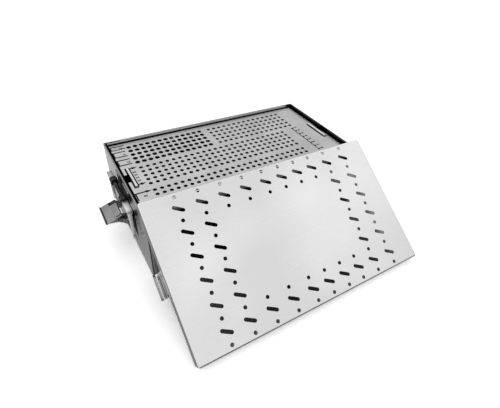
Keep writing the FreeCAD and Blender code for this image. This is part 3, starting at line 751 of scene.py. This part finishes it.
makePair(makeBail, "latchBail", "bailSteel", "latch_bail_{}", "latch_bail_{}")
makePair(makeCatchBar, "catchBar", "darkSteel", "latch_bail_{}", "catch_bar_{}")
makePair(makeLever, "latchLever", "leverSteel", "latch_lever_{}", "latch_lever_{}")
print("bails, catch bars and levers made")

rightSpring = makeSpring()
for piece in (mirrored(rightSpring, "leverSpringLeft"), rightSpring):
    finishPiece(piece, "box", steels["darkSteel"], None)
print("lever springs made")


# floor, light and camera

studio = {"floorSize": 9.0, "floorTone": 0.8, "floorSeen": 1.5, "floorMirrored": 0.75,
          "shade": 0.88, "shadeSlant": (0.861, -0.507, 0.0),
          "shadeEdges": {"slant": (292, 240), "left": (-178, -152), "front": (-247, -230),
                         "back": (92, 0)},
          "worldLow": (0.25, 0.8), "worldHigh": 0.92, "worldTop": 0.6, "worldSeen": 1.0,
          "brightSide": (-0.8, 0.6, 0.0), "sideSpan": (-0.6, 0.6)}


def makeFloor():
    deselectAll()
    bpy.ops.mesh.primitive_plane_add(size=studio["floorSize"], location=(0, 0, 0))
    floor = bpy.context.object
    floor.name = "paleFloor"
    material = bpy.data.materials.new("paleFloor")
    tree = emptyTree(material)
    link = tree.links.new
    out = addNode(tree, "ShaderNodeOutputMaterial", (600, 0))
    matte = addNode(tree, "ShaderNodeBsdfDiffuse", (400, 0))
    # a little darker in reflections than in the light it gives, and palest to the camera
    seen = addNode(tree, "ShaderNodeLightPath", (-600, 0))
    plain = studio["floorTone"]
    reflected = addMath(tree, "MULTIPLY_ADD", (-300, -100), seen.outputs["Is Glossy Ray"],
                        studio["floorMirrored"] - plain, plain)
    shown = addMath(tree, "MULTIPLY_ADD", (-100, 0), seen.outputs["Is Camera Ray"],
                    studio["floorSeen"] - plain, reflected)
    # the floor under the lid and close beside the box lies in shade
    coords = addNode(tree, "ShaderNodeTexCoord", (-1000, 500))
    split = addNode(tree, "ShaderNodeSeparateXYZ", (-800, 500))
    link(coords.outputs["Object"], split.inputs[0])
    slant = addDot(tree, (-800, 700), coords.outputs["Object"], studio["shadeSlant"])
    sources = {"slant": slant, "left": split.outputs["X"], "front": split.outputs["Y"],
               "back": split.outputs["Y"]}
    cover = allOf(tree, [
        stepAt(tree, sources[key], (light + dark) / 2, abs(dark - light) / 2, dark > light)
        for key, (light, dark) in studio["shadeEdges"].items()])
    shade = addRange(tree, (-100, 500), cover, end=(1.0, 1.0 - studio["shade"]))
    shaded = allOf(tree, [shown, shade.outputs["Result"]])
    tone = addNode(tree, "ShaderNodeCombineColor", (150, 0))
    for channel in ("Red", "Green", "Blue"):
        link(shaded, tone.inputs[channel])
    link(tone.outputs[0], matte.inputs["Color"])
    link(matte.outputs[0], out.inputs["Surface"])
    dress(floor, material)


def makeWorld():
    world = bpy.data.worlds.new("whiteRoom")
    bpy.context.scene.world = world
    tree = emptyTree(world)
    link = tree.links.new
    out = addNode(tree, "ShaderNodeOutputWorld", (800, 0))
    sky = addNode(tree, "ShaderNodeBackground", (600, 0), Color=(1, 1, 1, 1))
    link(sky.outputs[0], out.inputs["Surface"])
    coords = addNode(tree, "ShaderNodeTexCoord", (-600, 0))
    split = addNode(tree, "ShaderNodeSeparateXYZ", (-400, 0))
    link(coords.outputs["Generated"], split.inputs[0])
    # brighter low down at the left and back
    side = addDot(tree, (-400, 300), coords.outputs["Generated"], studio["brightSide"])
    low = addRange(tree, (-200, 300), side, studio["sideSpan"], studio["worldLow"])
    ramp = addRange(tree, (-200, 0), split.outputs["Z"], (0.0, studio["worldTop"]),
                    (0.0, studio["worldHigh"]))
    link(low.outputs["Result"], ramp.inputs["To Min"])
    seen = addNode(tree, "ShaderNodeLightPath", (-200, -300))
    level = addNode(tree, "ShaderNodeMix", (200, 0))
    level.data_type = "FLOAT"
    link(seen.outputs["Is Camera Ray"], level.inputs["Factor"])
    link(ramp.outputs["Result"], level.inputs["A"])
    level.inputs["B"].default_value = studio["worldSeen"]
    link(level.outputs["Result"], sky.inputs["Strength"])


lamps = {
    "overhead": {"place": (-0.6, 0.6, 1.6), "aim": (0, -0.05, 0.05), "size": (2.4, 1.8),
                 "power": 2.6},
    "fromLeft": {"place": (-1.5, 0.1, 1.0), "aim": (0, 0, 0.08), "size": (1.2, 1.0),
                 "power": 1.2},
}


def makeLamps():
    for name, lamp in lamps.items():
        deselectAll()
        bpy.ops.object.light_add(type="AREA", location=lamp["place"])
        light = bpy.context.object
        light.name = name
        light.data.shape = "RECTANGLE"
        light.data.size, light.data.size_y = lamp["size"]
        light.data.energy = lamp["power"]
        away = Vector(lamp["place"]) - Vector(lamp["aim"])
        light.rotation_euler = away.to_track_quat("Z", "Y").to_euler()


photoCamera = {"place": (-0.2495, -0.4230, 0.4082), "turn": (49.4143, -3.3513, -30.4927),
               "lens": 25.79, "shift": (0.00774, 0.00594), "sensor": 36.0, "nearest": 0.01}


def makeCamera():
    deselectAll()
    bpy.ops.object.camera_add(location=photoCamera["place"],
                              rotation=[math.radians(a) for a in photoCamera["turn"]])
    camera = bpy.context.object
    camera.name = "photoCamera"
    camera.data.sensor_fit = "HORIZONTAL"
    camera.data.sensor_width = photoCamera["sensor"]
    camera.data.lens = photoCamera["lens"]
    camera.data.shift_x, camera.data.shift_y = photoCamera["shift"]
    camera.data.clip_start = photoCamera["nearest"]
    bpy.context.scene.camera = camera


makeFloor()
makeWorld()
makeLamps()
makeCamera()
bpy.context.scene.view_settings.view_transform = "Standard"
print("floor, light and camera placed")
